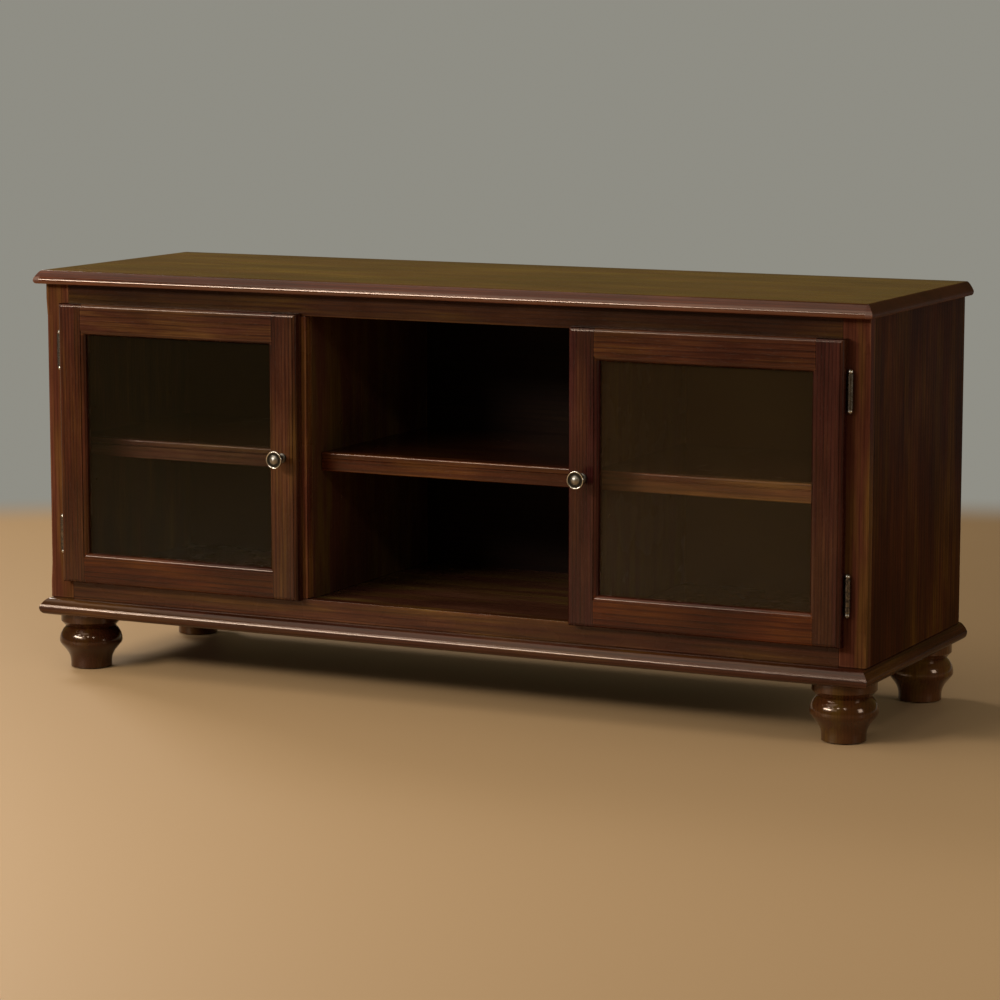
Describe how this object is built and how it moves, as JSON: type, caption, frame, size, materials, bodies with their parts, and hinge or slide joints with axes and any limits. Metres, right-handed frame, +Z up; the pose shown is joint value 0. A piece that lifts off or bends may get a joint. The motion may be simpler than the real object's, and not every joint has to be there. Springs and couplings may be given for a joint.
{
  "type": "tv console",
  "caption": "Low stained-wood television console with glazed doors at both sides, an open shelved bay between them, moulded top and base, and turned bun feet.",
  "frame": {"origin": "on the floor, at the middle of the overall box with the doors shut", "axes": "+X to the right seen from the front, +Y towards the back, +Z up"},
  "size_m": [1.53, 0.516, 0.699],
  "materials": {
    "stained_wood": "dark red-brown stain under a glossy lacquer",
    "inner_wood": "dark stain, dull",
    "clear_glass": "clear float glass",
    "aged_nickel": "aged nickel plate, dark in the recesses",
    "plain_steel": "zinc-plated steel",
    "catch_plastic": "moulded dark brown plastic",
    "glide_plastic": "dark nylon"
  },
  "bodies": {
    "case": {"back_panel": "inner_wood", "base_moulding_front": "stained_wood", "base_moulding_left": "stained_wood", "base_moulding_right": "stained_wood", "base_rail_rear": "inner_wood", "bottom_panel": "stained_wood", "bottom_rail": "stained_wood", "catch_bodies": "catch_plastic", "corner_stile_left": "stained_wood", "corner_stile_right": "stained_wood", "foot_bolts": "plain_steel", "foot_front_left": "stained_wood", "foot_front_right": "stained_wood", "foot_glides": "glide_plastic", "foot_rear_left": "stained_wood", "foot_rear_right": "stained_wood", "hinge_frame_leaves": "aged_nickel", "hinge_frame_screws": "plain_steel", "hinge_pins": "aged_nickel", "mid_stile_left": "stained_wood", "mid_stile_right": "stained_wood", "partition_left": "stained_wood", "partition_right": "stained_wood", "rear_top_rails": "inner_wood", "shelf_centre": "stained_wood", "shelf_left": "stained_wood", "shelf_nosing_centre": "stained_wood", "shelf_nosing_left": "stained_wood", "shelf_nosing_right": "stained_wood", "shelf_pins": "plain_steel", "shelf_right": "stained_wood", "side_panel_left": "stained_wood", "side_panel_right": "stained_wood", "top_cleats": "inner_wood", "top_panel": "stained_wood", "top_rail": "stained_wood", "top_screws": "plain_steel"},
    "left_door": {"left_door_bottom_rail": "stained_wood", "left_door_glass": "clear_glass", "left_door_glass_stops": "stained_wood", "left_door_hinge_leaves": "aged_nickel", "left_door_hinge_screws": "plain_steel", "left_door_hinge_stile": "stained_wood", "left_door_lock_stile": "stained_wood", "left_door_top_rail": "stained_wood", "left_knob": "aged_nickel", "left_knob_screw": "plain_steel", "left_strike_plate": "plain_steel"},
    "right_door": {"right_door_bottom_rail": "stained_wood", "right_door_glass": "clear_glass", "right_door_glass_stops": "stained_wood", "right_door_hinge_leaves": "aged_nickel", "right_door_hinge_screws": "plain_steel", "right_door_hinge_stile": "stained_wood", "right_door_lock_stile": "stained_wood", "right_door_top_rail": "stained_wood", "right_knob": "aged_nickel", "right_knob_screw": "plain_steel", "right_strike_plate": "plain_steel"}
  },
  "joints": [
    {"name": "left_door_hinge", "type": "hinge", "parent": "case", "child": "left_door", "pos_m": [-0.724, -0.2097, 0.40125], "axis": [0, 0, -1], "range_deg": [0, 120]},
    {"name": "right_door_hinge", "type": "hinge", "parent": "case", "child": "right_door", "pos_m": [0.724, -0.2097, 0.40125], "axis": [0, 0, 1], "range_deg": [0, 120]}
  ]
}
